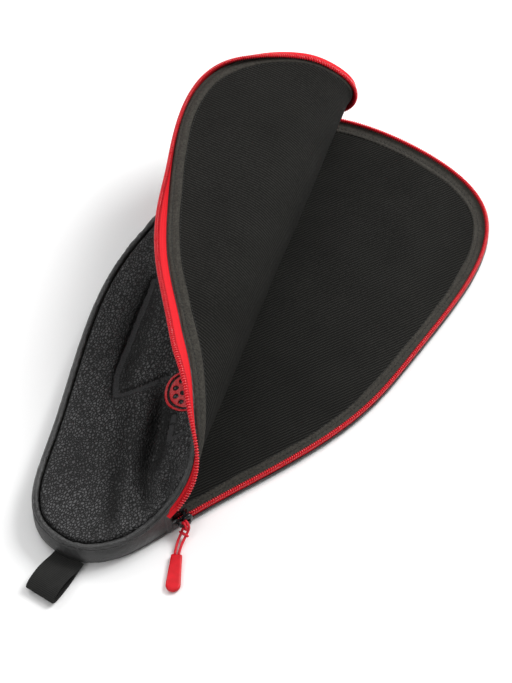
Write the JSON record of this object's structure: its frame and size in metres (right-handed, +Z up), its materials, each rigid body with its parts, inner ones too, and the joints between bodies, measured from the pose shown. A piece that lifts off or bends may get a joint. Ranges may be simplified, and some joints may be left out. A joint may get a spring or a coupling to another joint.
{
  "type": "paddle case",
  "caption": "Soft padded paddle case with a zip-round front panel, rolled back open, a slider with a cord pull and a webbing hang loop.",
  "frame": {"origin": "on the underside of the back panel, midway along the case on its centreline", "axes": "+X along the case from the handle end to the head, +Y to the left, +Z up out of the back panel"},
  "size_m": [0.4683, 0.2314, 0.0928],
  "materials": {
    "leatherette": "satin",
    "piping": "satin",
    "foam": "matte",
    "lining": "matte",
    "binding": "matte",
    "zipper_tape": "matte",
    "zipper_coil": "gloss",
    "slider_metal": "gloss",
    "cord": "matte",
    "tab_rubber": "satin",
    "webbing": "matte",
    "mark": "matte"
  },
  "bodies": {
    "base": {"back_binding": "binding", "back_cover": "leatherette", "back_foam": "foam", "back_lining": "lining", "back_piping": "piping", "end_tab_left": "leatherette", "end_tab_right": "leatherette", "front_binding": "binding", "front_cover": "leatherette", "front_foam": "foam", "front_lining": "lining", "front_mark": "mark", "front_piping": "piping", "front_zipper_coil": "zipper_coil", "front_zipper_tape": "zipper_tape", "gusset_cover": "leatherette", "gusset_lining": "lining", "zipper_coil_back": "zipper_coil", "zipper_tape_back": "zipper_tape"},
    "fold_1": {"fold_1_cover": "leatherette", "fold_1_foam": "foam", "fold_1_lining": "lining", "fold_1_zipper_tape": "zipper_tape"},
    "fold_2": {"fold_2_cover": "leatherette", "fold_2_foam": "foam", "fold_2_lining": "lining", "fold_2_zipper_tape": "zipper_tape"},
    "fold_3": {"fold_3_cover": "leatherette", "fold_3_foam": "foam", "fold_3_lining": "lining", "fold_3_zipper_tape": "zipper_tape"},
    "fold_4": {"fold_4_cover": "leatherette", "fold_4_foam": "foam", "fold_4_lining": "lining", "fold_4_zipper_tape": "zipper_tape"},
    "fold_5": {"fold_5_cover": "leatherette", "fold_5_foam": "foam", "fold_5_lining": "lining", "fold_5_zipper_tape": "zipper_tape"},
    "flap": {"flap_binding": "binding", "flap_cover": "leatherette", "flap_foam": "foam", "flap_lining": "lining", "flap_piping": "piping", "flap_zipper_coil": "zipper_coil", "flap_zipper_tape": "zipper_tape"},
    "slider": {"slider_body": "slider_metal", "slider_bridge": "slider_metal"},
    "pull": {"pull_cord": "cord"},
    "tab": {"pull_tab": "tab_rubber"},
    "loop": {"hang_loop": "webbing"}
  },
  "joints": [
    {"name": "panel_fold", "type": "hinge", "parent": "base", "child": "fold_1", "pos_m": [-0.19728, -0.04219, 0.0196], "axis": [0.9617, 0.274, 0], "range_deg": [0, 29.6]},
    {"name": "panel_fold_2", "type": "hinge", "parent": "fold_1", "child": "fold_2", "pos_m": [-0.19342, -0.05574, 0.0276], "axis": [0.9617, 0.274, 0], "range_deg": [0, 29.6]},
    {"name": "panel_fold_3", "type": "hinge", "parent": "fold_2", "child": "fold_3", "pos_m": [-0.19115, -0.06371, 0.04152], "axis": [0.9617, 0.274, 0], "range_deg": [0, 29.6]},
    {"name": "panel_fold_4", "type": "hinge", "parent": "fold_3", "child": "fold_4", "pos_m": [-0.19106, -0.06404, 0.05771], "axis": [0.9617, 0.274, 0], "range_deg": [0, 29.6]},
    {"name": "panel_fold_5", "type": "hinge", "parent": "fold_4", "child": "fold_5", "pos_m": [-0.19317, -0.05663, 0.07196], "axis": [0.9617, 0.274, 0], "range_deg": [0, 29.6]},
    {"name": "panel_fold_6", "type": "hinge", "parent": "fold_5", "child": "flap", "pos_m": [-0.19693, -0.04342, 0.08055], "axis": [0.9617, 0.274, 0], "range_deg": [0, 29.6]},
    {"name": "slider_run", "type": "slide", "parent": "base", "child": "slider", "axis": [0.9252, -0.3795, 0], "range_m": [0, 0.08]},
    {"name": "pull_swing", "type": "hinge", "parent": "slider", "child": "pull", "pos_m": [-0.15543, -0.06001, 0.0098], "axis": [-0.9252, 0.3795, 0], "range_deg": [0, 100]},
    {"name": "tab_flex", "type": "hinge", "parent": "pull", "child": "tab", "pos_m": [-0.17618, -0.06604, 0.0019], "axis": [-0.4923, 0.8705, 0], "range_deg": [0, 60]},
    {"name": "loop_flex", "type": "hinge", "parent": "base", "child": "loop", "pos_m": [-0.2178, -0.0093, 0.0043], "axis": [0, 1, 0], "range_deg": [0, 45]}
  ],
  "couplings": [
    {"joint": "panel_fold_2", "follows": "panel_fold", "ratio": 1},
    {"joint": "panel_fold_3", "follows": "panel_fold", "ratio": 1},
    {"joint": "panel_fold_4", "follows": "panel_fold", "ratio": 1},
    {"joint": "panel_fold_5", "follows": "panel_fold", "ratio": 1},
    {"joint": "panel_fold_6", "follows": "panel_fold", "ratio": 1}
  ]
}
